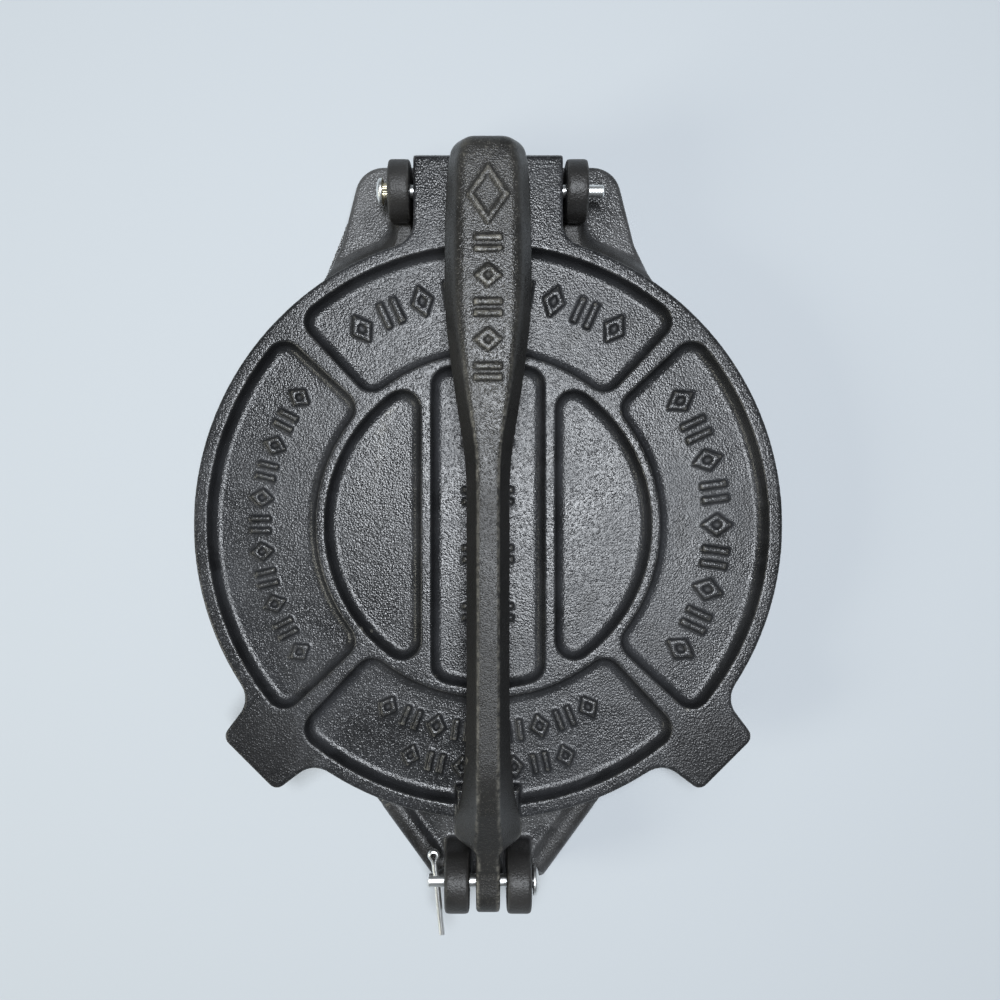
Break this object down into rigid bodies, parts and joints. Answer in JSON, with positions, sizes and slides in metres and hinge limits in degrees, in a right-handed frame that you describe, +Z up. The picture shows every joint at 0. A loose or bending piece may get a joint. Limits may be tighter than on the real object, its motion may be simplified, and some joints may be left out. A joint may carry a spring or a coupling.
{
  "type": "tortilla press",
  "caption": "Cast-iron tortilla press with a round base on two hollow feet, a ribbed hinged lid and a folding lever pinned in a clevis.",
  "frame": {"origin": "on the table, under the middle of the whole press's bounding box", "axes": "+Y towards the lid's hinge at the back, along the folded lever; +X to the right seen from the front; +Z up"},
  "size_m": [0.218, 0.2924, 0.0595],
  "materials": {
    "iron": "oiled black sand-cast iron",
    "zinc": "bright zinc plate"
  },
  "bodies": {
    "base": {"base": "iron", "hinge_pin": "zinc", "lever_pin": "zinc", "split_pin": "zinc"},
    "lid": {"lid": "iron"},
    "lever": {"handle": "iron"}
  },
  "joints": [
    {"name": "lever_hinge", "type": "hinge", "parent": "base", "child": "lever", "pos_m": [0, -0.12625, 0.0275], "axis": [1, 0, 0], "range_deg": [0, 175]},
    {"name": "lid_hinge", "type": "hinge", "parent": "base", "child": "lid", "pos_m": [0, 0.13025, 0.0275], "axis": [-1, 0, 0], "range_deg": [0, 105]}
  ],
  "couplings": [
    {"joint": "lid_hinge", "follows": "lever_hinge", "ratio": 0.1}
  ]
}
